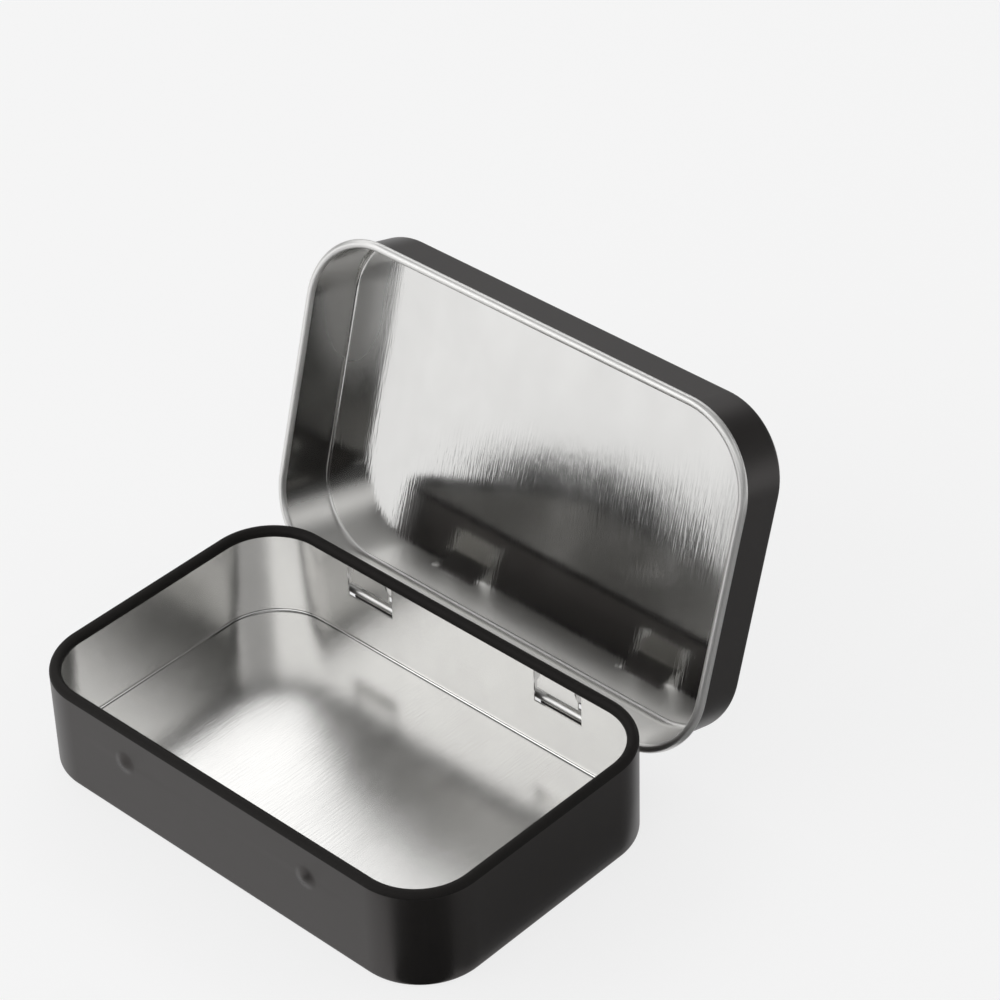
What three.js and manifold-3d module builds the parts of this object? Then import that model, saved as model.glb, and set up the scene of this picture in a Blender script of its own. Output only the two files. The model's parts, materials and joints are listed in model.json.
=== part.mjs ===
// Hinged pocket tin, shown with its lid standing open.
// Two drawn tinplate pans share one corner centre: a base with a rim curled inward, and a lid
// with a bead curled outward. Two straps struck from the base's back wall pass through slots
// in the lid's skirt and wrap round the lid's bead, which turns in them as the hinge pin.
// Frame: millimetres, +Z up, X along the hinge, front at -Y, origin under the middle of the base.

import * as THREE from 'three';
import { mergeVertices } from 'three/addons/utils/BufferGeometryUtils.js';
import Module from 'manifold-3d';

const wasm = await Module();
wasm.setup();

// Tinplate and the base pan
const SHEET = 0.28; // thickness of the tinplate
const LENGTH = 95; // base outside, along the hinge
const WIDTH = 60; // base outside, front to back
const BASE_HEIGHT = 20; // table to the top of the rim
const CORNER_RADIUS = 12.5; // base outside, in plan
const BASE_FILLET = 0.8; // outside radius between floor and wall
const RIM_CURL_RADIUS = 1.05; // outside radius of the inward curl
const RIM_CURL_TURN = 300; // degrees of curl

// Lid pan
const LID_GAP = 0.95; // base wall to the inside of the lid's skirt
const LID_HEADROOM = 0.5; // base rim to the inside of the lid's panel, closed
const LID_FILLET = 0.9; // outside radius between panel and skirt
const BEAD_RADIUS = 0.8; // outside radius of the lid's outward curl
const BEAD_TURN = 290; // degrees of curl
const HINGE_HEIGHT = 9.6; // table to the middle of the bead, closed
const OPEN_ANGLE = 106; // degrees from closed, as modelled

// Hinge windows and straps
const HINGE_INSET = 12.6; // end of the corner arc to the middle of a strap
const STRAP_WIDTH = 9.4;
const STRAP_BEND = 0.5; // bend radius where a strap leaves the wall, mid sheet
const STRAP_LEAVE = 45; // degrees above level where a strap leaves its loop
const STRAP_WRAP_END = -190; // degrees where the loop ends, in front of the bead
const HINGE_CLEARANCE = 0.15; // bead to strap, and strap to slot edge
const SLOT_SIDE_CLEARANCE = 0.4; // strap to each end of its slot
const STRAP_ROOT_GAP = 0.03; // strap to the wall that it was struck from
const RELIEF_RADIUS = 3; // round relief on each side of a strap's root
const RELIEF_DEPTH = 0.8;
const WINDOW_SIDE_CLEARANCE = 0.75; // strap to each side of its window
const WINDOW_SILL_RISE = 0.2; // bead middle up to the window's sill
const WINDOW_BELOW_RIM = 0.9; // rim curl down to the window's head
const WINDOW_CORNER = 0.6;

// Closure: two bumps on the base's front wall, a long groove in the lid's front skirt
const BUMP_INSET = 13.5; // end of the corner arc to the middle of a bump
const BUMP_DIAMETER = 3.8;
const BUMP_HEIGHT = 0.45;
const BUMP_RISE = 3.2; // bead middle up to the middle of a bump, closed
const GROOVE_INSET = 4.5; // end of the corner arc to the end of the groove
const GROOVE_WIDTH = 2.6;
const GROOVE_DEPTH = 0.16;
const GROOVE_RISE = 2.2; // bead middle up to the middle of the groove

// Facets
const CORNER_STEPS = 8; // per quarter turn, in plan
const FILLET_STEPS = 4;
const CURL_STEPS = 14;
const BEND_STEPS = 5; // where a strap leaves the wall
const WINDOW_CORNER_STEPS = 4;
const ROUND_STEPS = 48; // per full turn, on bumps and the groove
const CUT_OVERRUN = 0.4; // how far a cut runs past the sheet
const MERGE_TOLERANCE = 1e-5;

// Sizes that follow
const straightX = LENGTH / 2 - CORNER_RADIUS;
const straightY = WIDTH / 2 - CORNER_RADIUS;
const backWall = WIDTH / 2;
const hingeX = straightX - HINGE_INSET;
const hingeY = backWall + LID_GAP + BEAD_RADIUS;
const closedHeight = BASE_HEIGHT + LID_HEADROOM + SHEET;
const lidOffset = -LID_GAP - SHEET;
const beadOffset = -LID_GAP - BEAD_RADIUS;
const loopRadius = BEAD_RADIUS + HINGE_CLEARANCE + SHEET / 2;
const strapLeave = THREE.MathUtils.degToRad(STRAP_LEAVE);
const strapWrapEnd = THREE.MathUtils.degToRad(STRAP_WRAP_END);
const windowWidth = STRAP_WIDTH + 2 * WINDOW_SIDE_CLEARANCE;
const windowSill = HINGE_HEIGHT + WINDOW_SILL_RISE;
const windowHead = BASE_HEIGHT - 2 * RIM_CURL_RADIUS - WINDOW_BELOW_RIM;

const enamel = { color: 0x1c1b1b, roughness: 0.5, metalness: 0.2 };
const tinplate = { color: 0xb9b9b7, roughness: 0.3, metalness: 1 };

// Points along an arc in a pan's section, from one angle to another, both ends included.
function arc(centre, radius, from, to, steps) {
  return Array.from({ length: steps + 1 }, (_, i) => {
    const angle = from + ((to - from) * i) / steps;
    return [centre[0] + radius * Math.cos(angle), centre[1] + radius * Math.sin(angle)];
  });
}

// The plan outline of the tin, moved inward by an offset, at one height.
function planRing(offset, z) {
  const radius = CORNER_RADIUS - offset;
  const centres = [
    [straightX, straightY],
    [-straightX, straightY],
    [-straightX, -straightY],
    [straightX, -straightY],
  ];
  return centres.flatMap((centre, corner) => {
    const start = (corner * Math.PI) / 2;
    return arc(centre, radius, start, start + Math.PI / 2, CORNER_STEPS).map(([x, y]) => [x, y, z]);
  });
}

// A pan: its section of [offset, height] points is swept round the plan outline, and the first
// and last rings are closed flat. The sheet lies to the right of the section as it is followed.
function panGeometry(section) {
  const rings = section.map(([offset, z]) => planRing(offset, z));
  const count = rings[0].length;
  const index = [];
  for (let r = 0; r + 1 < rings.length; r += 1) {
    for (let i = 0; i < count; i += 1) {
      const a = r * count + i;
      const b = r * count + ((i + 1) % count);
      index.push(a, b, b + count, a, b + count, a + count);
    }
  }
  const last = (rings.length - 1) * count;
  for (let i = 1; i + 1 < count; i += 1) {
    index.push(0, i + 1, i);
    index.push(last, last + i, last + i + 1);
  }
  const geometry = new THREE.BufferGeometry();
  geometry.setAttribute('position', new THREE.Float32BufferAttribute(rings.flat(2), 3));
  geometry.setIndex(index);
  return geometry;
}

// Base section: floor, fillet, wall, then the rim curled inward and back down the inside.
function baseSection() {
  const half = Math.PI / 2;
  const turn = THREE.MathUtils.degToRad(RIM_CURL_TURN);
  const foot = [BASE_FILLET, BASE_FILLET];
  const curl = [RIM_CURL_RADIUS, BASE_HEIGHT - RIM_CURL_RADIUS];
  return [
    ...arc(foot, BASE_FILLET, -half, -Math.PI, FILLET_STEPS),
    ...arc(curl, RIM_CURL_RADIUS, Math.PI, Math.PI - turn, CURL_STEPS),
    ...arc(curl, RIM_CURL_RADIUS - SHEET, Math.PI - turn, Math.PI, CURL_STEPS),
    ...arc(foot, BASE_FILLET - SHEET, -Math.PI, -half, FILLET_STEPS),
  ];
}

// Lid section in its closed place: panel, fillet, skirt, then the bead curled outward.
function lidSection() {
  const half = Math.PI / 2;
  const turn = THREE.MathUtils.degToRad(BEAD_TURN);
  const brow = [lidOffset + LID_FILLET, closedHeight - LID_FILLET];
  const bead = [beadOffset, HINGE_HEIGHT];
  return [
    ...arc(brow, LID_FILLET - SHEET, half, Math.PI, FILLET_STEPS),
    ...arc(bead, BEAD_RADIUS, 0, -turn, CURL_STEPS),
    ...arc(bead, BEAD_RADIUS - SHEET, -turn, 0, CURL_STEPS),
    ...arc(brow, LID_FILLET, Math.PI, half, FILLET_STEPS),
  ];
}

// Geometry to a solid that can be joined and cut, and back.
function solid(geometry) {
  const bare = geometry.clone();
  bare.deleteAttribute('normal');
  bare.deleteAttribute('uv');
  const merged = mergeVertices(bare, MERGE_TOLERANCE);
  return new wasm.Manifold(
    new wasm.Mesh({
      numProp: 3,
      vertProperties: new Float32Array(merged.attributes.position.array),
      triVerts: new Uint32Array(merged.index.array),
    }),
  );
}

function geometryOf(body) {
  const { vertProperties, triVerts } = body.getMesh();
  const geometry = new THREE.BufferGeometry();
  geometry.setAttribute('position', new THREE.Float32BufferAttribute(vertProperties, 3));
  geometry.setIndex(Array.from(triVerts));
  geometry.computeVertexNormals();
  return geometry;
}

// A block between two corners.
function block(low, high) {
  const size = high.map((value, i) => value - low[i]);
  const middle = high.map((value, i) => (value + low[i]) / 2);
  return solid(new THREE.BoxGeometry(...size).translate(...middle));
}

// Turns a shape drawn in Y and Z, extruded along its own depth, so that its depth runs along X.
function alongX(geometry) {
  const basis = new THREE.Matrix4().makeBasis(
    new THREE.Vector3(0, 1, 0),
    new THREE.Vector3(0, 0, 1),
    new THREE.Vector3(1, 0, 0),
  );
  return geometry.applyMatrix4(basis);
}

// A rounded opening cut through the back wall at one hinge.
function windowCutter(x) {
  const low = -windowWidth / 2 + WINDOW_CORNER;
  const high = windowWidth / 2 - WINDOW_CORNER;
  const outline = new THREE.Shape();
  outline.absarc(high, windowHead - WINDOW_CORNER, WINDOW_CORNER, 0, Math.PI / 2);
  outline.absarc(low, windowHead - WINDOW_CORNER, WINDOW_CORNER, Math.PI / 2, Math.PI);
  outline.absarc(low, windowSill + WINDOW_CORNER, WINDOW_CORNER, Math.PI, 1.5 * Math.PI);
  outline.absarc(high, windowSill + WINDOW_CORNER, WINDOW_CORNER, 1.5 * Math.PI, 2 * Math.PI);
  outline.closePath();
  const cutter = new THREE.ExtrudeGeometry(outline, {
    depth: SHEET + 2 * CUT_OVERRUN,
    bevelEnabled: false,
    curveSegments: WINDOW_CORNER_STEPS,
  });
  return solid(cutter.rotateX(Math.PI / 2).translate(x, backWall + CUT_OVERRUN, 0));
}

// Presses a round bump outward through the front wall, with its hollow on the inside.
function pressBump(pan, x) {
  const ball = (BUMP_DIAMETER ** 2 / 4 + BUMP_HEIGHT ** 2) / (2 * BUMP_HEIGHT);
  const place = [x, -backWall - BUMP_HEIGHT + ball, HINGE_HEIGHT + BUMP_RISE];
  const sphere = (radius) => {
    const round = new THREE.SphereGeometry(radius, ROUND_STEPS, ROUND_STEPS / 2);
    return solid(round.rotateX(Math.PI / 2).translate(...place));
  };
  const reach = BUMP_DIAMETER;
  const outside = block(
    [x - reach, -backWall - reach, place[2] - reach],
    [x + reach, -backWall + SHEET / 2, place[2] + reach],
  );
  return pan.add(sphere(ball).intersect(outside)).subtract(sphere(ball - SHEET));
}

// Presses the long groove inward through the lid's front skirt, with its ridge on the inside.
function pressGroove(pan) {
  const roll = (GROOVE_WIDTH ** 2 / 4 + GROOVE_DEPTH ** 2) / (2 * GROOVE_DEPTH);
  const skirtFace = -backWall + lidOffset;
  const halfLength = straightX - GROOVE_INSET - GROOVE_WIDTH / 2;
  const place = [0, skirtFace + GROOVE_DEPTH - roll, HINGE_HEIGHT + GROOVE_RISE];
  const bar = (radius, outer, inner) => {
    const round = new THREE.CapsuleGeometry(radius, 2 * halfLength, ROUND_STEPS / 4, ROUND_STEPS);
    const reach = block(
      [-LENGTH / 2, outer, place[2] - GROOVE_WIDTH / 2],
      [LENGTH / 2, inner, place[2] + GROOVE_WIDTH],
    );
    return solid(round.rotateZ(Math.PI / 2).translate(...place)).intersect(reach);
  };
  const ridge = bar(roll + SHEET, skirtFace + SHEET / 2, skirtFace + SHEET + LID_GAP);
  const hollow = bar(roll, skirtFace - SHEET / 2, skirtFace + LID_GAP);
  return pan.add(ridge).subtract(hollow);
}

// The slot beside the bead that lets a strap through the lid's back skirt. Its near edge stands
// into the strap's loop by half the clearance, and the cut ends short of the bead's own curl.
function slotCutter(x) {
  const climb = (loopRadius * Math.cos(strapLeave) + BEAD_RADIUS) / Math.tan(strapLeave);
  const strapTop = loopRadius * Math.sin(strapLeave) + climb + SHEET / 2 / Math.sin(strapLeave);
  const nearEdge = Math.sqrt((BEAD_RADIUS + HINGE_CLEARANCE / 2) ** 2 - BEAD_RADIUS ** 2);
  const farEdge = strapTop + HINGE_CLEARANCE;
  const halfWidth = STRAP_WIDTH / 2 + SLOT_SIDE_CLEARANCE;
  const curlEnd = BEAD_RADIUS * (1 - Math.cos(THREE.MathUtils.degToRad(BEAD_TURN)));
  const skirtInside = backWall + LID_GAP;
  return block(
    [x - halfWidth, skirtInside - CUT_OVERRUN, HINGE_HEIGHT + nearEdge],
    [x + halfWidth, skirtInside + (SHEET + curlEnd) / 2, HINGE_HEIGHT + farEdge],
  );
}

// Middle line of a strap, from the window's head down the wall, out over the bead and round it.
function strapLine() {
  const wallY = backWall - SHEET / 2 - hingeY;
  const leave = [loopRadius * Math.cos(strapLeave), loopRadius * Math.sin(strapLeave)];
  const cornerZ = leave[1] + (leave[0] - wallY) / Math.tan(strapLeave);
  const setback = STRAP_BEND * Math.tan(strapLeave / 2);
  const middle = [wallY + STRAP_BEND, cornerZ + setback];
  const bend = arc(middle, STRAP_BEND, Math.PI, Math.PI + strapLeave, BEND_STEPS);
  const loop = arc([0, 0], loopRadius, strapLeave, strapWrapEnd, 2 * CURL_STEPS);
  return [[wallY, windowHead - STRAP_ROOT_GAP - HINGE_HEIGHT], ...bend, ...loop];
}

// A strip of sheet that follows a middle line, as a closed outline.
function stripShape(line) {
  const points = line.map(([y, z]) => new THREE.Vector2(y, z));
  const side = (sign) =>
    points.map((point, i) => {
      const before = points[Math.max(i - 1, 0)];
      const after = points[Math.min(i + 1, points.length - 1)];
      const along = after.clone().sub(before).normalize();
      return new THREE.Vector2(-along.y, along.x).multiplyScalar((sign * SHEET) / 2).add(point);
    });
  return new THREE.Shape([...side(1), ...side(-1).reverse()]);
}

// The round relief beside a strap's root, cut through the sheet on one side.
function reliefCutter(x, side) {
  const reach = STRAP_WIDTH / 2 + RELIEF_RADIUS - RELIEF_DEPTH;
  const length = SHEET + 2 * CUT_OVERRUN;
  const round = new THREE.CylinderGeometry(RELIEF_RADIUS, RELIEF_RADIUS, length, ROUND_STEPS);
  return solid(round.translate(x + side * reach, backWall - SHEET / 2, windowHead));
}

function strapGeometry(x) {
  const strip = new THREE.ExtrudeGeometry(stripShape(strapLine()), {
    depth: STRAP_WIDTH,
    bevelEnabled: false,
  });
  let strap = solid(alongX(strip).translate(x - STRAP_WIDTH / 2, hingeY, HINGE_HEIGHT));
  for (const side of [-1, 1]) {
    strap = strap.subtract(reliefCutter(x, side));
  }
  return geometryOf(strap);
}

function baseGeometry() {
  let pan = solid(panGeometry(baseSection()));
  for (const side of [-1, 1]) {
    pan = pan.subtract(windowCutter(side * hingeX));
    pan = pressBump(pan, side * (straightX - BUMP_INSET));
  }
  return geometryOf(pan);
}

function lidGeometry() {
  let pan = pressGroove(solid(panGeometry(lidSection())));
  for (const side of [-1, 1]) {
    pan = pan.subtract(slotCutter(side * hingeX));
  }
  return geometryOf(pan);
}

function part(name, geometry, finish) {
  const mesh = new THREE.Mesh(geometry, new THREE.MeshStandardMaterial(finish));
  mesh.name = name;
  return mesh;
}

const tin = new THREE.Group();
tin.add(part('base_pan', baseGeometry(), enamel));
tin.add(part('hinge_strap_left', strapGeometry(-hingeX), tinplate));
tin.add(part('hinge_strap_right', strapGeometry(hingeX), tinplate));

// The lid is drawn closed and swings about the middle of its back bead.
const lidSwing = new THREE.Group();
lidSwing.position.set(0, hingeY, HINGE_HEIGHT);
lidSwing.rotation.x = -THREE.MathUtils.degToRad(OPEN_ANGLE);
const lid = part('lid_pan', lidGeometry(), enamel);
lid.position.set(0, -hingeY, -HINGE_HEIGHT);
lidSwing.add(lid);
tin.add(lidSwing);

export default tin;
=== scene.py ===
"""A hinged pocket tin: two drawn pans of tinplate, enamelled black outside and bare inside, lid open."""

import json
import math
from collections import namedtuple

import bmesh
import bpy
from mathutils import Matrix, Vector


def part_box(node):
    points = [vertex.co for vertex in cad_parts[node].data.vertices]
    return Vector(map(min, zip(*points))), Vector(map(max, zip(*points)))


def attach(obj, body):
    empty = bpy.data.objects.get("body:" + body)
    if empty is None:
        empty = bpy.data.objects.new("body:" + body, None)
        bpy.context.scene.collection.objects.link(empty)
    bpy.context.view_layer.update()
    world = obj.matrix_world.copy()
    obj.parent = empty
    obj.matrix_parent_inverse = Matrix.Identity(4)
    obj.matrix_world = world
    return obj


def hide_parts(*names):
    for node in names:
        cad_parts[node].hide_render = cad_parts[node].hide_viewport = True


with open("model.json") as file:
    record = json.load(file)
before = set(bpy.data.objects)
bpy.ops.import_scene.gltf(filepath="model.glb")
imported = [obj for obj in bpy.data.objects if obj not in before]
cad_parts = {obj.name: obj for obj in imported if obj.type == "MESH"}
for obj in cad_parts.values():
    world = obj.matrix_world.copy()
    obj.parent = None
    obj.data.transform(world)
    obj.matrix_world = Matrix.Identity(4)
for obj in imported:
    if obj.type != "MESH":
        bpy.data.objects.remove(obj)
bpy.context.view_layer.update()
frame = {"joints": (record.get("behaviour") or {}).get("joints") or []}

MM = 0.001

# Tinplate and the base pan
SHEET = 0.28 * MM
CORNER_RADIUS = 12.5 * MM
BASE_FILLET = 0.8 * MM
RIM_CURL_RADIUS = 1.05 * MM
RIM_CURL_TURN = 300
BASE_CROWN = 0.12 * MM

# Lid pan
LID_HEADROOM = 0.5 * MM
LID_FILLET = 0.9 * MM
BEAD_RADIUS = 0.8 * MM
BEAD_TURN = 290
LID_CROWN = 0.10 * MM

# Hinge windows, slots and straps
STRAP_BEND = 0.5 * MM
STRAP_LEAVE = math.radians(45)
STRAP_WRAP_END = math.radians(-190)
STRAP_EDGE_ROUND = 0.05 * MM
HINGE_CLEARANCE = 0.15 * MM
SLOT_SIDE_CLEARANCE = 0.4 * MM
ROOT_GAP = 0.02 * MM
RELIEF_RADIUS = 3.0 * MM
RELIEF_DEPTH = 0.8 * MM
WINDOW_SIDE_CLEARANCE = 0.75 * MM
WINDOW_SILL_RISE = 0.2 * MM
WINDOW_BELOW_RIM = 0.9 * MM

# Closure: soft-edged bumps on the base, a long groove in the lid
BUMP_INSET = 13.5 * MM
BUMP_REACH = 2.5 * MM
BUMP_HEIGHT = 0.70 * MM
BUMP_RISE = 3.2 * MM
GROOVE_INSET = 4.5 * MM
GROOVE_REACH = 1.3 * MM
GROOVE_DEPTH = 0.16 * MM
GROOVE_RISE = 2.2 * MM

# Mesh fineness
CORNER_STEPS = 24
END_STEPS = 4
FILLET_STEPS = 8
CURL_STEPS = 28
FEATURE_STEPS = 24
ROOT_STEPS = 8
SUPPORT = 0.25 * MM
PANEL_SHARES = (0.01, 0.06, 0.14, 0.24, 0.36, 0.5, 0.64, 0.78, 0.9)
SHARP_ANGLE = math.radians(38)
SAME_PLACE = SHEET / 10

# Tinplate: clouds in the sheet, lines left by rolling, and tin's faintly warm grey
TIN_CLOUD = (9 * MM, 14 * MM, 14 * MM)
TIN_CLOUD_CONTRAST = 0.025
TIN_WAVE_DEPTH = 0.03 * MM
TIN_LINES = (0.4 * MM, 5 * MM, 5 * MM)
TIN_WARMTH = (0, 0.005, 0.018)

# Black enamel: its clouds, its peel and the tint of its gloss
ENAMEL_CLOUD = (6 * MM, 6 * MM, 6 * MM)
ENAMEL_DARK = (0.017, 0.016, 0.0155)
ENAMEL_LIGHT = (0.0195, 0.0185, 0.0175)
ENAMEL_PEEL = (0.3 * MM, 0.3 * MM, 0.3 * MM)
ENAMEL_PEEL_DEPTH = 0.008 * MM
ENAMEL_GLOSS_TINT = (1.0, 0.925, 0.905, 1)

# The part of a noise's range that most of its values lie in
NOISE_LOW = 0.3
NOISE_HIGH = 0.7

# Camera, fitted to the photograph's outlines
CAMERA_AZIMUTH = math.radians(43.8)
CAMERA_ELEVATION = math.radians(36.66)
CAMERA_ROLL = math.radians(-1.82)
CAMERA_DISTANCE = 621.7 * MM
CAMERA_AIM_RIGHT = 26.48 * MM
CAMERA_AIM_UP = 49.14 * MM
CAMERA_LENS = 130.57
SENSOR = 36.0
CLIP_START = 0.01

# Room: a brightness of 1 is the background's white, and a height is the sine of an elevation
ROOM_LIGHTS = 1.5
ROOM_CEILING = 0.12
ROOM_FOOT_SHARE = 0.1
FOOT_UP_TO = 0.25
LIGHTS_FROM = 0.48
LIGHTS_UP_TO = 0.66
CEILING_FROM = 0.80

# Gaps in the ring of lights. Where a gap starts and is full is the cosine of the angle from its middle.
Gap = namedtuple("Gap", "azimuth elevation starts full share")
RIGHT_GAP = Gap(math.radians(80), 0, 0.60, 0.74, 0.4)
BACK_GAP = Gap(math.radians(165), math.radians(12), 0.82, 0.94, 0.05)

# Floor, and dark cards on it, whose corners are in millimetres: the cards are painted shade, seen only in
# the tin's reflections
FLOOR_SIZE = 60.0
FLOOR_CLOUD = (60 * MM, 60 * MM, 60 * MM)
FLOOR_DARK = (0.88, 0.885, 0.89)
FLOOR_LIGHT = (0.90, 0.90, 0.905)
FLOOR_ROUGHNESS = 0.6
FLOOR_GLOW = 0.78
CARD_LIFT = 0.2 * MM
FRONT_SHADE_CARD = ((40, -30), (40, -58), (0, -62), (0, -300), (300, -300), (300, -22), (48, -22))
RIGHT_SHADE_CARD = ((48.5, -22), (300, -22), (300, 160), (48.5, 160))
LID_SHADE_CARD = (
    (-95, -70), (-118, -98), (-124, -129), (-117, -144), (-105, -150), (-80, -136), (-62, -120), (-55, -95),
)

# Places in a piece's list of materials: the first two are shared, the rest are a pan's or a strap's own
ENAMEL, TINPLATE, PANEL_TINPLATE, CURLED_ENAMEL, CURLED_TINPLATE = range(5)
# A strap's dark bare tinplate at its root and bend is painted sheen, in place of the highlight on its
# enamel
STRAP_SHEEN = 2

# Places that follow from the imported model
_, base_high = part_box("base_pan")
strap_low, strap_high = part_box("hinge_strap_right")
lid_joint = frame["joints"][0]
hinge = Vector(lid_joint["pos_m"])
open_angle = math.radians(lid_joint["range_deg"][1])
half_x = base_high.x
half_y = base_high.y
rim_z = base_high.z
straight_x = half_x - CORNER_RADIUS
straight_y = half_y - CORNER_RADIUS
spine_x = half_x - half_y
dulls_from_y = half_y / 4
dullest_y = -half_y / 2
lid_gap = hinge.y - half_y - BEAD_RADIUS
lid_offset = -lid_gap - SHEET
closed_z = rim_z + LID_HEADROOM + SHEET
strap_x = (strap_low.x + strap_high.x) / 2
strap_half = (strap_high.x - strap_low.x) / 2
loop_radius = BEAD_RADIUS + HINGE_CLEARANCE + SHEET / 2
relief_length = math.sqrt(RELIEF_RADIUS**2 - (RELIEF_RADIUS - RELIEF_DEPTH) ** 2)
window_half = strap_half + WINDOW_SIDE_CLEARANCE
window_sill = hinge.z + WINDOW_SILL_RISE
window_head = rim_z - 2 * RIM_CURL_RADIUS - WINDOW_BELOW_RIM
bump_x = straight_x - BUMP_INSET
bump_z = hinge.z + BUMP_RISE
groove_x = straight_x - GROOVE_INSET
groove_z = hinge.z + GROOVE_RISE

# One column of a pan's mesh: a point is anchor + (corner radius - offset) * direction.
Column = namedtuple("Column", "anchor direction side place")

# A cut through one side of a pan: side name, ends along that side, lowest and highest edge.
Hole = namedtuple("Hole", "side ends low high")


def spread(start, end, steps):
    """Evenly spaced numbers, both ends included."""
    return [start + (end - start) * i / steps for i in range(steps + 1)]


def arc(centre, radius, start, end, steps):
    """[offset, height] points along an arc given in degrees, both ends included."""
    turns = [math.radians(angle) for angle in spread(start, end, steps)]
    return [(centre[0] + radius * math.cos(t), centre[1] + radius * math.sin(t)) for t in turns]


def plan_columns(back, front):
    """Columns round the plan outline, counter-clockwise: a corner, then the side that follows it."""
    ends = spread(straight_y - SUPPORT, SUPPORT - straight_y, END_STEPS)
    sides = (
        ("back", (1, 1), (0, 1), sorted(back, reverse=True)),
        ("left", (-1, 1), (-1, 0), ends),
        ("front", (-1, -1), (0, -1), sorted(front)),
        ("right", (1, -1), (1, 0), ends[::-1]),
    )
    columns = []
    for quarter, (side, corner, direction, places) in enumerate(sides):
        centre = Vector((corner[0] * straight_x, corner[1] * straight_y))
        for angle in spread(90 * quarter, 90 * quarter + 90, CORNER_STEPS):
            turn = math.radians(angle)
            columns.append(Column(centre, Vector((math.cos(turn), math.sin(turn))), "corner", angle))
        for place in places:
            along_x = direction[0] == 0
            anchor = (place, direction[1] * straight_y) if along_x else (direction[0] * straight_x, place)
            columns.append(Column(Vector(anchor), Vector(direction), side, place))
    return columns


def base_side(depth):
    """Rows [offset, height] of the base at a depth under its enamel: fillet, wall, inward curl."""
    foot = (BASE_FILLET, BASE_FILLET)
    curl = (RIM_CURL_RADIUS, rim_z - RIM_CURL_RADIUS)
    heights = {BASE_FILLET + SUPPORT, window_sill, window_head, curl[1] - SUPPORT}
    heights.update(spread(bump_z - BUMP_REACH, bump_z + BUMP_REACH, FEATURE_STEPS))
    return [
        *arc(foot, BASE_FILLET - depth, -90, -180, FILLET_STEPS),
        *[(depth, z) for z in sorted(heights)],
        *arc(curl, RIM_CURL_RADIUS - depth, 180, 180 - RIM_CURL_TURN, CURL_STEPS),
    ]


def slot_edges():
    """Heights of a lid slot's edges: beside the bead, and past the strap that comes through."""
    climb = (loop_radius * math.cos(STRAP_LEAVE) + BEAD_RADIUS) / math.tan(STRAP_LEAVE)
    strap_top = loop_radius * math.sin(STRAP_LEAVE) + climb + SHEET / 2 / math.sin(STRAP_LEAVE)
    near = math.sqrt((BEAD_RADIUS + HINGE_CLEARANCE / 2) ** 2 - BEAD_RADIUS**2)
    return hinge.z + near, hinge.z + strap_top + HINGE_CLEARANCE


def lid_side(depth):
    """Rows [offset, height] of the closed lid at a depth under its enamel: fillet, skirt, outward bead."""
    brow = (lid_offset + LID_FILLET, closed_z - LID_FILLET)
    bead = (-lid_gap - BEAD_RADIUS, hinge.z)
    heights = {brow[1] - SUPPORT, *slot_edges()}
    heights.update(spread(groove_z - GROOVE_REACH, groove_z + GROOVE_REACH, FEATURE_STEPS))
    return [
        *arc(brow, LID_FILLET - depth, 90, 180, FILLET_STEPS),
        *[(lid_offset + depth, z) for z in sorted(heights, reverse=True)],
        *arc(bead, BEAD_RADIUS - SHEET + depth, 0, -BEAD_TURN, CURL_STEPS),
    ]


def swell(share):
    """A soft-edged dome: 1 in the middle, falling smoothly to 0 at a share of 1."""
    return math.cos(min(share, 1) * math.pi / 2) ** 2


def bump_press(column, height):
    """How far the base's front wall is pressed, as an offset: two round bumps outward."""
    if column.side != "front":
        return 0.0
    away = math.hypot(abs(column.place) - bump_x, height - bump_z)
    return -BUMP_HEIGHT * swell(away / BUMP_REACH)


def groove_press(column, height):
    """How far the lid's front skirt is pressed, as an offset: one long groove inward."""
    if column.side != "front":
        return 0.0
    past_end = max(abs(column.place) - (groove_x - GROOVE_REACH), 0)
    away = math.hypot(past_end, height - groove_z)
    return GROOVE_DEPTH * swell(away / GROOVE_REACH)


def pan_point(column, row, press):
    """Where one row of a pan's section meets one column."""
    offset, height = row
    reach = CORNER_RADIUS - offset - press(column, height)
    x, y = column.anchor + reach * column.direction
    return Vector((x, y, height))


def panel_point(edge, share, crown):
    """A point of a pan's flat panel, a share of the way from its edge to its middle line."""
    middle = Vector((max(-spine_x, min(spine_x, edge.x)), 0, edge.z))
    point = edge.lerp(middle, share)
    point.z += crown * (1 - (point.x / half_x) ** 2) * (1 - (point.y / half_y) ** 2)
    return point


def hole_cells(hole, columns, rows):
    """First and last row and column index of a hole's edges."""
    matches = [
        [i for i, c in enumerate(columns) if c.side == hole.side and abs(c.place - end) < SAME_PLACE]
        for end in hole.ends
    ]
    first, last = sorted(m[0] for m in matches)
    levels = [
        min(range(FILLET_STEPS, len(rows) - CURL_STEPS), key=lambda i: abs(rows[i][1] - height))
        for height in (hole.low, hole.high)
    ]
    return (min(levels), max(levels), first, last)


def skin(bm, grid, bands, cells):
    """Faces of one side of the sheet, with a material for each band of rows, left open inside each hole."""
    count = len(grid[0])
    for r in range(len(grid) - 1):
        for c in range(count):
            if any(low <= r < high and first <= c < last for low, high, first, last in cells):
                continue
            n = (c + 1) % count
            face = bm.faces.new((grid[r][c], grid[r][n], grid[r + 1][n], grid[r + 1][c]))
            face.material_index = bands[r]


def cut_edge(bm, outer, inner):
    """The bare edge of the sheet between matching points of its two sides."""
    for (a, b), (d, c) in zip(zip(outer, outer[1:]), zip(inner, inner[1:])):
        bm.faces.new((a, b, c, d)).material_index = TINPLATE


def line_hole(bm, outer, inner, cell):
    """The bare edges of the sheet round one hole."""
    low, high, first, last = cell
    for r in (low, high):
        cut_edge(bm, outer[r][first:last + 1], inner[r][first:last + 1])
    for c in (first, last):
        cut_edge(bm, [row[c] for row in outer[low:high + 1]], [row[c] for row in inner[low:high + 1]])


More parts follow.
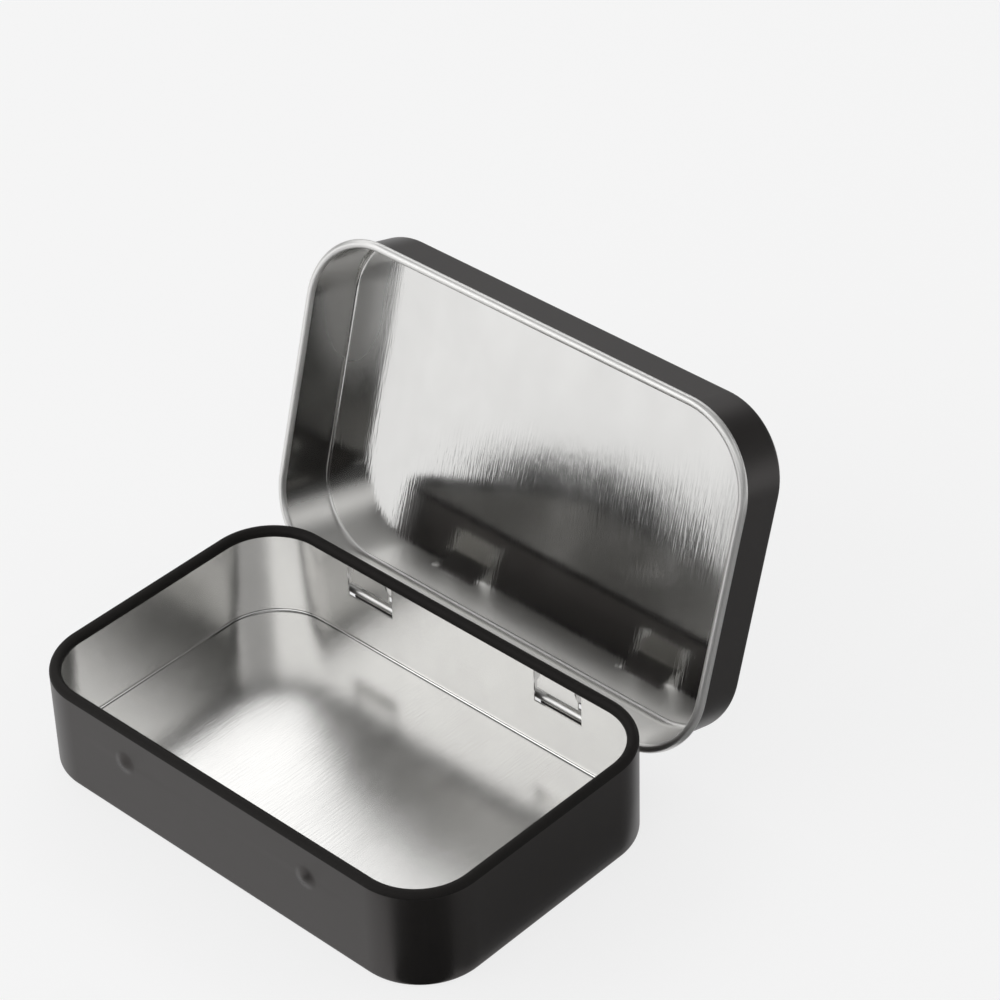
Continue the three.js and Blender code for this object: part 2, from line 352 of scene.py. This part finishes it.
def build_pan(name, side_rows, columns, holes, press, crown, materials):
    """A pan of sheet: two skins that share columns, joined along the curl's end and round each hole."""
    bm = bmesh.new()
    cells = [hole_cells(hole, columns, side_rows(0)) for hole in holes]
    grids = []
    sides = ((0, ENAMEL, ENAMEL, CURLED_ENAMEL), (SHEET, PANEL_TINPLATE, TINPLATE, CURLED_TINPLATE))
    for depth, flat, drawn, curled in sides:
        rows = side_rows(depth)
        bands = [drawn] * (len(rows) - 1 - CURL_STEPS) + [curled] * CURL_STEPS
        points = [[pan_point(column, row, press) for column in columns] for row in rows]
        panel = [[panel_point(edge, share, crown) for edge in points[0]] for share in PANEL_SHARES]
        wall = [[bm.verts.new(p) for p in ring] for ring in points]
        rings = [[bm.verts.new(p) for p in ring] for ring in panel]
        skin(bm, wall, bands, cells)
        skin(bm, [wall[0], *rings], [flat] * len(rings), [])
        bm.faces.new(rings[-1]).material_index = flat
        grids.append(wall)
    outer, inner = grids
    cut_edge(bm, [*outer[-1], outer[-1][0]], [*inner[-1], inner[-1][0]])
    for cell in cells:
        line_hole(bm, outer, inner, cell)
    return finish_mesh(name, bm, materials)


def finish_mesh(name, bm, materials):
    """A smooth-shaded object from a closed mesh, with its true edges kept sharp."""
    bmesh.ops.recalc_face_normals(bm, faces=bm.faces)
    for face in bm.faces:
        face.smooth = True
    mesh = bpy.data.meshes.new(name)
    bm.to_mesh(mesh)
    bm.free()
    mesh.set_sharp_from_angle(angle=SHARP_ANGLE)
    for material in materials:
        mesh.materials.append(material)
    piece = bpy.data.objects.new(name, mesh)
    bpy.context.scene.collection.objects.link(piece)
    return piece


def build_base(materials):
    """The base pan, with its two hinge windows and its two bumps."""
    windows = [[side * strap_x - window_half, side * strap_x + window_half] for side in (-1, 1)]
    end = straight_x - SUPPORT
    back = {-end, end, *windows[0], *windows[1]}
    front = {-end, end}
    for side in (-1, 1):
        front.update(spread(side * bump_x - BUMP_REACH, side * bump_x + BUMP_REACH, FEATURE_STEPS))
    holes = [Hole("back", window, window_sill, window_head) for window in windows]
    columns = plan_columns(back, front)
    return build_pan("base_shell", base_side, columns, holes, bump_press, BASE_CROWN, materials)


def build_lid(materials):
    """The lid pan, with its two slots and its groove, swung open about the hinge."""
    slot_half = strap_half + SLOT_SIDE_CLEARANCE
    slots = [[side * strap_x - slot_half, side * strap_x + slot_half] for side in (-1, 1)]
    end = straight_x - SUPPORT
    back = {-end, end, *slots[0], *slots[1]}
    front = {-end, end}
    for side in (-1, 1):
        front.update(side * x for x in spread(groove_x - GROOVE_REACH, groove_x, FEATURE_STEPS))
    holes = [Hole("back", slot, *slot_edges()) for slot in slots]
    columns = plan_columns(back, front)
    lid = build_pan("lid_shell", lid_side, columns, holes, groove_press, LID_CROWN, materials)
    place = Matrix.Translation(hinge)
    lid.matrix_world = place @ Matrix.Rotation(-open_angle, 4, "X") @ place.inverted()
    return lid


def strap_line():
    """A strap's middle line in Y and Z: down the wall from the window's head, then round the bead."""
    wall_y = half_y - SHEET / 2 - hinge.y
    leave = Vector((math.cos(STRAP_LEAVE), math.sin(STRAP_LEAVE))) * loop_radius
    corner_z = leave.y + (leave.x - wall_y) / math.tan(STRAP_LEAVE)
    middle = (wall_y + STRAP_BEND, corner_z + STRAP_BEND * math.tan(STRAP_LEAVE / 2))
    head = window_head - ROOT_GAP - hinge.z
    root = [(wall_y, z) for z in spread(head, head - relief_length, ROOT_STEPS)]
    bend = arc(middle, STRAP_BEND, 180, 180 + math.degrees(STRAP_LEAVE), FILLET_STEPS)
    loop = arc((0, 0), loop_radius, math.degrees(STRAP_LEAVE), math.degrees(STRAP_WRAP_END), 2 * CURL_STEPS)
    return [Vector(p) for p in [*root, *bend, *loop]]


def strap_half_width(below_head):
    """Half of a strap's width: a round relief on each side narrows it at its root."""
    if below_head >= relief_length:
        return strap_half
    return strap_half + RELIEF_RADIUS - RELIEF_DEPTH - math.sqrt(RELIEF_RADIUS**2 - below_head**2)


def build_strap(name, x, materials):
    """A tongue of sheet along the strap line, enamelled outside, with dark bare tinplate over its root and
    bend as painted sheen.
    """
    line = strap_line()
    bm = bmesh.new()
    rails = []
    for i, point in enumerate(line):
        heading = (line[min(i + 1, len(line) - 1)] - line[max(i - 1, 0)]).normalized()
        across = Vector((-heading.y, heading.x)) * SHEET / 2
        half = strap_half_width(line[0].y - point.y)
        corners = ((-half, across), (half, across), (half, -across), (-half, -across))
        rails.append([
            bm.verts.new((x + dx, hinge.y + point.x + s.x, hinge.z + point.y + s.y)) for dx, s in corners
        ])
    for i, (before, after) in enumerate(zip(rails, rails[1:])):
        # Painted sheen: the outer face of the root and bend takes dark bare tinplate instead of enamel
        outside = STRAP_SHEEN if i < ROOT_STEPS + FILLET_STEPS else ENAMEL
        for k in range(4):
            n = (k + 1) % 4
            face = bm.faces.new((before[k], before[n], after[n], after[k]))
            face.material_index = outside if k == 0 else TINPLATE
    for end in (rails[0], rails[-1]):
        bm.faces.new(end).material_index = TINPLATE
    strap = finish_mesh(name, bm, materials)
    edge = strap.modifiers.new("edge_round", "BEVEL")
    edge.width = STRAP_EDGE_ROUND
    edge.segments = 2
    edge.limit_method = "ANGLE"
    edge.angle_limit = SHARP_ANGLE
    return strap


def new_material(name):
    """A node material: its tree, its main shader and a coordinate that stays with the piece."""
    material = bpy.data.materials.new(name)
    material.use_nodes = True
    tree = material.node_tree
    shader = tree.nodes["Principled BSDF"]
    coordinates = tree.nodes.new("ShaderNodeTexCoord").outputs["Object"]
    return material, tree, shader, coordinates


def along(tree, direction, axis):
    """How much of a direction lies along an axis."""
    node = tree.nodes.new("ShaderNodeVectorMath")
    node.operation = "DOT_PRODUCT"
    node.inputs[1].default_value = axis
    tree.links.new(direction, node.inputs[0])
    return node.outputs["Value"]


def calculate(tree, operation, first, second):
    """Two numbers put together, by ADD, MULTIPLY or MAXIMUM."""
    node = tree.nodes.new("ShaderNodeMath")
    node.operation = operation
    tree.links.new(first, node.inputs[0])
    tree.links.new(second, node.inputs[1])
    return node.outputs["Value"]


def fade(tree, value, start, end, before, after):
    """A number that changes smoothly from one value to another while a value runs from start to end."""
    node = tree.nodes.new("ShaderNodeMapRange")
    node.interpolation_type = "SMOOTHSTEP"
    node.inputs["From Min"].default_value = start
    node.inputs["From Max"].default_value = end
    node.inputs["To Min"].default_value = before
    node.inputs["To Max"].default_value = after
    tree.links.new(value, node.inputs["Value"])
    return node.outputs["Result"]


def noise(tree, coordinates, sizes, detail=2.0):
    """Noise whose grain has these sizes along X, Y and Z."""
    mapping = tree.nodes.new("ShaderNodeMapping")
    mapping.inputs["Scale"].default_value = [1 / size for size in sizes]
    tree.links.new(coordinates, mapping.inputs["Vector"])
    texture = tree.nodes.new("ShaderNodeTexNoise")
    texture.inputs["Scale"].default_value = 1.0
    texture.inputs["Detail"].default_value = detail
    tree.links.new(mapping.outputs["Vector"], texture.inputs["Vector"])
    return texture.outputs[0]


def remap(tree, value, low, high):
    """The middle of a noise's range, stretched to run from low to high."""
    node = tree.nodes.new("ShaderNodeMapRange")
    node.inputs["From Min"].default_value = NOISE_LOW
    node.inputs["From Max"].default_value = NOISE_HIGH
    node.inputs["To Min"].default_value = low
    node.inputs["To Max"].default_value = high
    tree.links.new(value, node.inputs["Value"])
    return node.outputs["Result"]


def ramp(tree, value, low, high):
    """A colour between two colours, by a noise."""
    node = tree.nodes.new("ShaderNodeMix")
    node.data_type = "RGBA"
    node.inputs["A"].default_value = (*low, 1)
    node.inputs["B"].default_value = (*high, 1)
    tree.links.new(remap(tree, value, 0, 1), node.inputs["Factor"])
    return node.outputs["Result"]


def bump(tree, height, distance, below=None):
    """Surface relief of a given depth, over any relief below it."""
    node = tree.nodes.new("ShaderNodeBump")
    node.inputs["Distance"].default_value = distance
    tree.links.new(height, node.inputs["Height"])
    if below is not None:
        tree.links.new(below, node.inputs["Normal"])
    return node.outputs["Normal"]


def panel_mask(tree):
    """1 on a pan's flat panel and 0 on its upright sides, whichever way the pan is turned."""
    normal = tree.nodes.new("ShaderNodeTexCoord").outputs["Normal"]
    upright = along(tree, normal, (0, 0, 1))
    return calculate(tree, "MULTIPLY", upright, upright)


def rolling_lines(tree, coordinates):
    """Fine lines of the rolled sheet, front to back, left on the panels and drawn smooth on the sides."""
    lines = noise(tree, coordinates, TIN_LINES)
    return calculate(tree, "MULTIPLY", lines, panel_mask(tree))


def tin_tint(brightness):
    """Tin's own faintly warm grey."""
    return tuple(brightness - less for less in TIN_WARMTH)


def dull_at_hinge(tree, coordinates, amount):
    """Roughness to add: the whole amount at a pan's hinge side, and nothing over most of the pan."""
    back = along(tree, coordinates, (0, 1, 0))
    return fade(tree, back, straight_y, half_y, 0, amount)


def dull_at_front_corners(tree, coordinates, amount):
    """Roughness to add: the whole amount at the front of both ends, and nothing over most of the pan."""
    right = along(tree, coordinates, (1, 0, 0))
    left = along(tree, coordinates, (-1, 0, 0))
    back = along(tree, coordinates, (0, 1, 0))
    outward = fade(tree, calculate(tree, "MAXIMUM", right, left), straight_x, half_x, 0, 1)
    forward = fade(tree, back, dullest_y, dulls_from_y, amount, 0)
    return calculate(tree, "MULTIPLY", outward, forward)


def make_tinplate(name, brightness, smoothest, roughest, line_depth=0, hinge_dulling=0, corner_dulling=0):
    """Bare tinplate, clouded a little and finely lined by rolling, and duller at a hinge or at corners."""
    material, tree, shader, coordinates = new_material(name)
    cloud = noise(tree, coordinates, TIN_CLOUD, detail=3.0)
    dark = tin_tint(brightness - TIN_CLOUD_CONTRAST)
    light = tin_tint(brightness + TIN_CLOUD_CONTRAST)
    shader.inputs["Metallic"].default_value = 1.0
    tree.links.new(ramp(tree, cloud, dark, light), shader.inputs["Base Color"])
    roughness = remap(tree, cloud, smoothest, roughest)
    if hinge_dulling:
        dulling = dull_at_hinge(tree, coordinates, hinge_dulling)
        roughness = calculate(tree, "ADD", roughness, dulling)
    if corner_dulling:
        dulling = dull_at_front_corners(tree, coordinates, corner_dulling)
        roughness = calculate(tree, "ADD", roughness, dulling)
    tree.links.new(roughness, shader.inputs["Roughness"])
    relief = bump(tree, cloud, TIN_WAVE_DEPTH)
    if line_depth:
        relief = bump(tree, rolling_lines(tree, coordinates), line_depth, relief)
    tree.links.new(relief, shader.inputs["Normal"])
    return material


def make_enamel(name, gloss, smoothest, roughest):
    """Black enamel, clouded a little, with a faint peel."""
    material, tree, shader, coordinates = new_material(name)
    peel = noise(tree, coordinates, ENAMEL_PEEL)
    cloud = noise(tree, coordinates, ENAMEL_CLOUD, detail=4.0)
    tree.links.new(ramp(tree, cloud, ENAMEL_DARK, ENAMEL_LIGHT), shader.inputs["Base Color"])
    tree.links.new(remap(tree, cloud, smoothest, roughest), shader.inputs["Roughness"])
    shader.inputs["Specular IOR Level"].default_value = gloss
    shader.inputs["Specular Tint"].default_value = ENAMEL_GLOSS_TINT
    tree.links.new(bump(tree, peel, ENAMEL_PEEL_DEPTH), shader.inputs["Normal"])
    return material


def seen_ray(tree):
    """1 for rays from the camera and for what shows in gloss or through glass, and 0 for other light."""
    light_path = tree.nodes.new("ShaderNodeLightPath").outputs
    total = light_path["Is Camera Ray"]
    for kind in ("Is Glossy Ray", "Is Transmission Ray"):
        total = calculate(tree, "MAXIMUM", total, light_path[kind])
    return total


def floor_material():
    """Mostly background white where it is seen. The rest is plain surface, which takes the tin's shadow."""
    material, tree, shader, coordinates = new_material("pale_floor")
    cloud = noise(tree, coordinates, FLOOR_CLOUD, detail=3.0)
    tree.links.new(ramp(tree, cloud, FLOOR_DARK, FLOOR_LIGHT), shader.inputs["Base Color"])
    shader.inputs["Roughness"].default_value = FLOOR_ROUGHNESS
    glow = tree.nodes.new("ShaderNodeEmission")
    share = tree.nodes.new("ShaderNodeMath")
    share.operation = "MULTIPLY"
    share.inputs[1].default_value = FLOOR_GLOW
    tree.links.new(seen_ray(tree), share.inputs[0])
    mix = tree.nodes.new("ShaderNodeMixShader")
    tree.links.new(share.outputs["Value"], mix.inputs["Fac"])
    tree.links.new(shader.outputs["BSDF"], mix.inputs[1])
    tree.links.new(glow.outputs["Emission"], mix.inputs[2])
    tree.links.new(mix.outputs["Shader"], tree.nodes["Material Output"].inputs["Surface"])
    return material


def make_floor():
    """A pale floor, wide enough to fill the frame from all but the lowest viewpoints."""
    bpy.ops.mesh.primitive_plane_add(size=FLOOR_SIZE)
    floor = bpy.context.object
    floor.name = "floor"
    floor.data.materials.append(floor_material())


def dark_card(name, outline, grey):
    """A card of a given grey, laid on the floor, which only shows in reflections: painted shade that
    darkens the tin's reflection of the floor, and casts no shadow.
    """
    material, _, shader, _ = new_material(name)
    shader.inputs["Base Color"].default_value = (grey, grey, grey, 1)
    shader.inputs["Roughness"].default_value = 1.0
    mesh = bpy.data.meshes.new(name)
    corners = [(x * MM, y * MM, CARD_LIFT) for x, y in outline]
    mesh.from_pydata(corners, [], [range(len(corners))])
    mesh.materials.append(material)
    card = bpy.data.objects.new(name, mesh)
    bpy.context.scene.collection.objects.link(card)
    card.visible_camera = False
    card.visible_diffuse = False
    card.visible_shadow = False


def heading_to(azimuth, elevation):
    """The direction from the tin to a place, with azimuth 0 in front and a right angle on its right."""
    flat = math.cos(elevation)
    return Vector((math.sin(azimuth) * flat, -math.cos(azimuth) * flat, math.sin(elevation)))


def set_camera():
    """The photograph's viewpoint: a direction, a roll, a distance and an aim."""
    back = heading_to(CAMERA_AZIMUTH, CAMERA_ELEVATION)
    level = Vector((math.cos(CAMERA_AZIMUTH), math.sin(CAMERA_AZIMUTH), 0))
    right = Matrix.Rotation(CAMERA_ROLL, 3, back) @ level
    up = back.cross(right)
    data = bpy.data.cameras.new("camera")
    data.lens = CAMERA_LENS
    data.sensor_width = SENSOR
    data.clip_start = CLIP_START
    camera = bpy.data.objects.new("camera", data)
    turn = Matrix((right, up, back)).transposed().to_4x4()
    place = right * CAMERA_AIM_RIGHT + up * CAMERA_AIM_UP + back * CAMERA_DISTANCE
    camera.matrix_world = Matrix.Translation(place) @ turn
    bpy.context.scene.collection.objects.link(camera)
    bpy.context.scene.camera = camera


def softbox(name, azimuth, elevation, distance, size, brightness):
    """A square soft light that faces the tin, placed by its direction in degrees and its distance."""
    toward = heading_to(math.radians(azimuth), math.radians(elevation))
    data = bpy.data.lights.new(name, "AREA")
    data.shape = "SQUARE"
    data.size = size
    data.energy = brightness * math.pi * size**2
    light = bpy.data.objects.new(name, data)
    light.location = Vector((0, 0, rim_z)) + toward * distance
    light.rotation_euler = toward.to_track_quat("Z", "Y").to_euler()
    bpy.context.scene.collection.objects.link(light)


def set_world():
    """A room with a ring of soft light above its dark foot, a dark ceiling, and two gaps in the ring."""
    world = bpy.data.worlds.new("room")
    world.use_nodes = True
    tree = world.node_tree
    direction = tree.nodes.new("ShaderNodeTexCoord").outputs["Generated"]
    height = along(tree, direction, (0, 0, 1))
    upper = fade(tree, height, LIGHTS_UP_TO, CEILING_FROM, ROOM_LIGHTS, ROOM_CEILING)
    lower = fade(tree, height, FOOT_UP_TO, LIGHTS_FROM, ROOM_FOOT_SHARE, 1)
    background = tree.nodes["Background"]
    background.inputs["Color"].default_value = (1, 1, 1, 1)
    strength = calculate(tree, "MULTIPLY", upper, lower)
    for gap in (RIGHT_GAP, BACK_GAP):
        toward = along(tree, direction, heading_to(gap.azimuth, gap.elevation))
        darkening = fade(tree, toward, gap.starts, gap.full, 1, gap.share)
        strength = calculate(tree, "MULTIPLY", strength, darkening)
    tree.links.new(strength, background.inputs["Strength"])
    bpy.context.scene.world = world


def dress():
    """Makes the materials and the pieces, ties each piece to its body, and hides the solid it replaces."""
    enamel = make_enamel("enamel", gloss=0.6, smoothest=0.37, roughest=0.40)
    curled_enamel = make_enamel("enamel_curled", gloss=0.12, smoothest=0.55, roughest=0.62)
    drawn = make_tinplate("tinplate_drawn", brightness=0.73, smoothest=0.16, roughest=0.21)
    lid_drawn = make_tinplate(
        "tinplate_lid_drawn", brightness=0.73, smoothest=0.12, roughest=0.16, hinge_dulling=0.28
    )
    base_panel = make_tinplate(
        "tinplate_base_panel", brightness=0.72, smoothest=0.20, roughest=0.25, line_depth=0.015 * MM
    )
    lid_panel = make_tinplate(
        "tinplate_lid_panel",
        brightness=0.79,
        smoothest=0.085,
        roughest=0.125,
        line_depth=0.016 * MM,
        corner_dulling=0.32,
    )
    curled = make_tinplate("tinplate_curled", brightness=0.76, smoothest=0.36, roughest=0.44)
    # Dark bare tinplate for a strap's root and bend: painted sheen in place of the enamel's highlight
    painted_sheen_tin = make_tinplate("tinplate_painted_sheen", brightness=0.22, smoothest=0.30, roughest=0.36)
    base = build_base((enamel, drawn, base_panel, curled_enamel, curled))
    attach(base, "base")
    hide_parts("base_pan")
    lid = build_lid((enamel, lid_drawn, lid_panel, curled_enamel, curled))
    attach(lid, "lid")
    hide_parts("lid_pan")
    for side, sign in (("left", -1), ("right", 1)):
        strap = build_strap(f"strap_{side}", sign * strap_x, (enamel, drawn, painted_sheen_tin))
        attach(strap, "base")
        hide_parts(f"hinge_strap_{side}")


dress()
make_floor()
set_camera()
set_world()
softbox("key", azimuth=-35, elevation=14, distance=0.9, size=0.5, brightness=1.4)
softbox("back_left", azimuth=-136, elevation=38, distance=1.2, size=0.8, brightness=0.18)
softbox("overhead", azimuth=0, elevation=88, distance=1.2, size=0.7, brightness=0.6)
# Painted shade: cards that darken the floor where the enamel and the open lid reflect it
dark_card("front_shade_card", FRONT_SHADE_CARD, grey=0.01)
dark_card("right_shade_card", RIGHT_SHADE_CARD, grey=0.45)
dark_card("lid_shade_card", LID_SHADE_CARD, grey=0.01)
bpy.context.scene.view_settings.view_transform = "Standard"
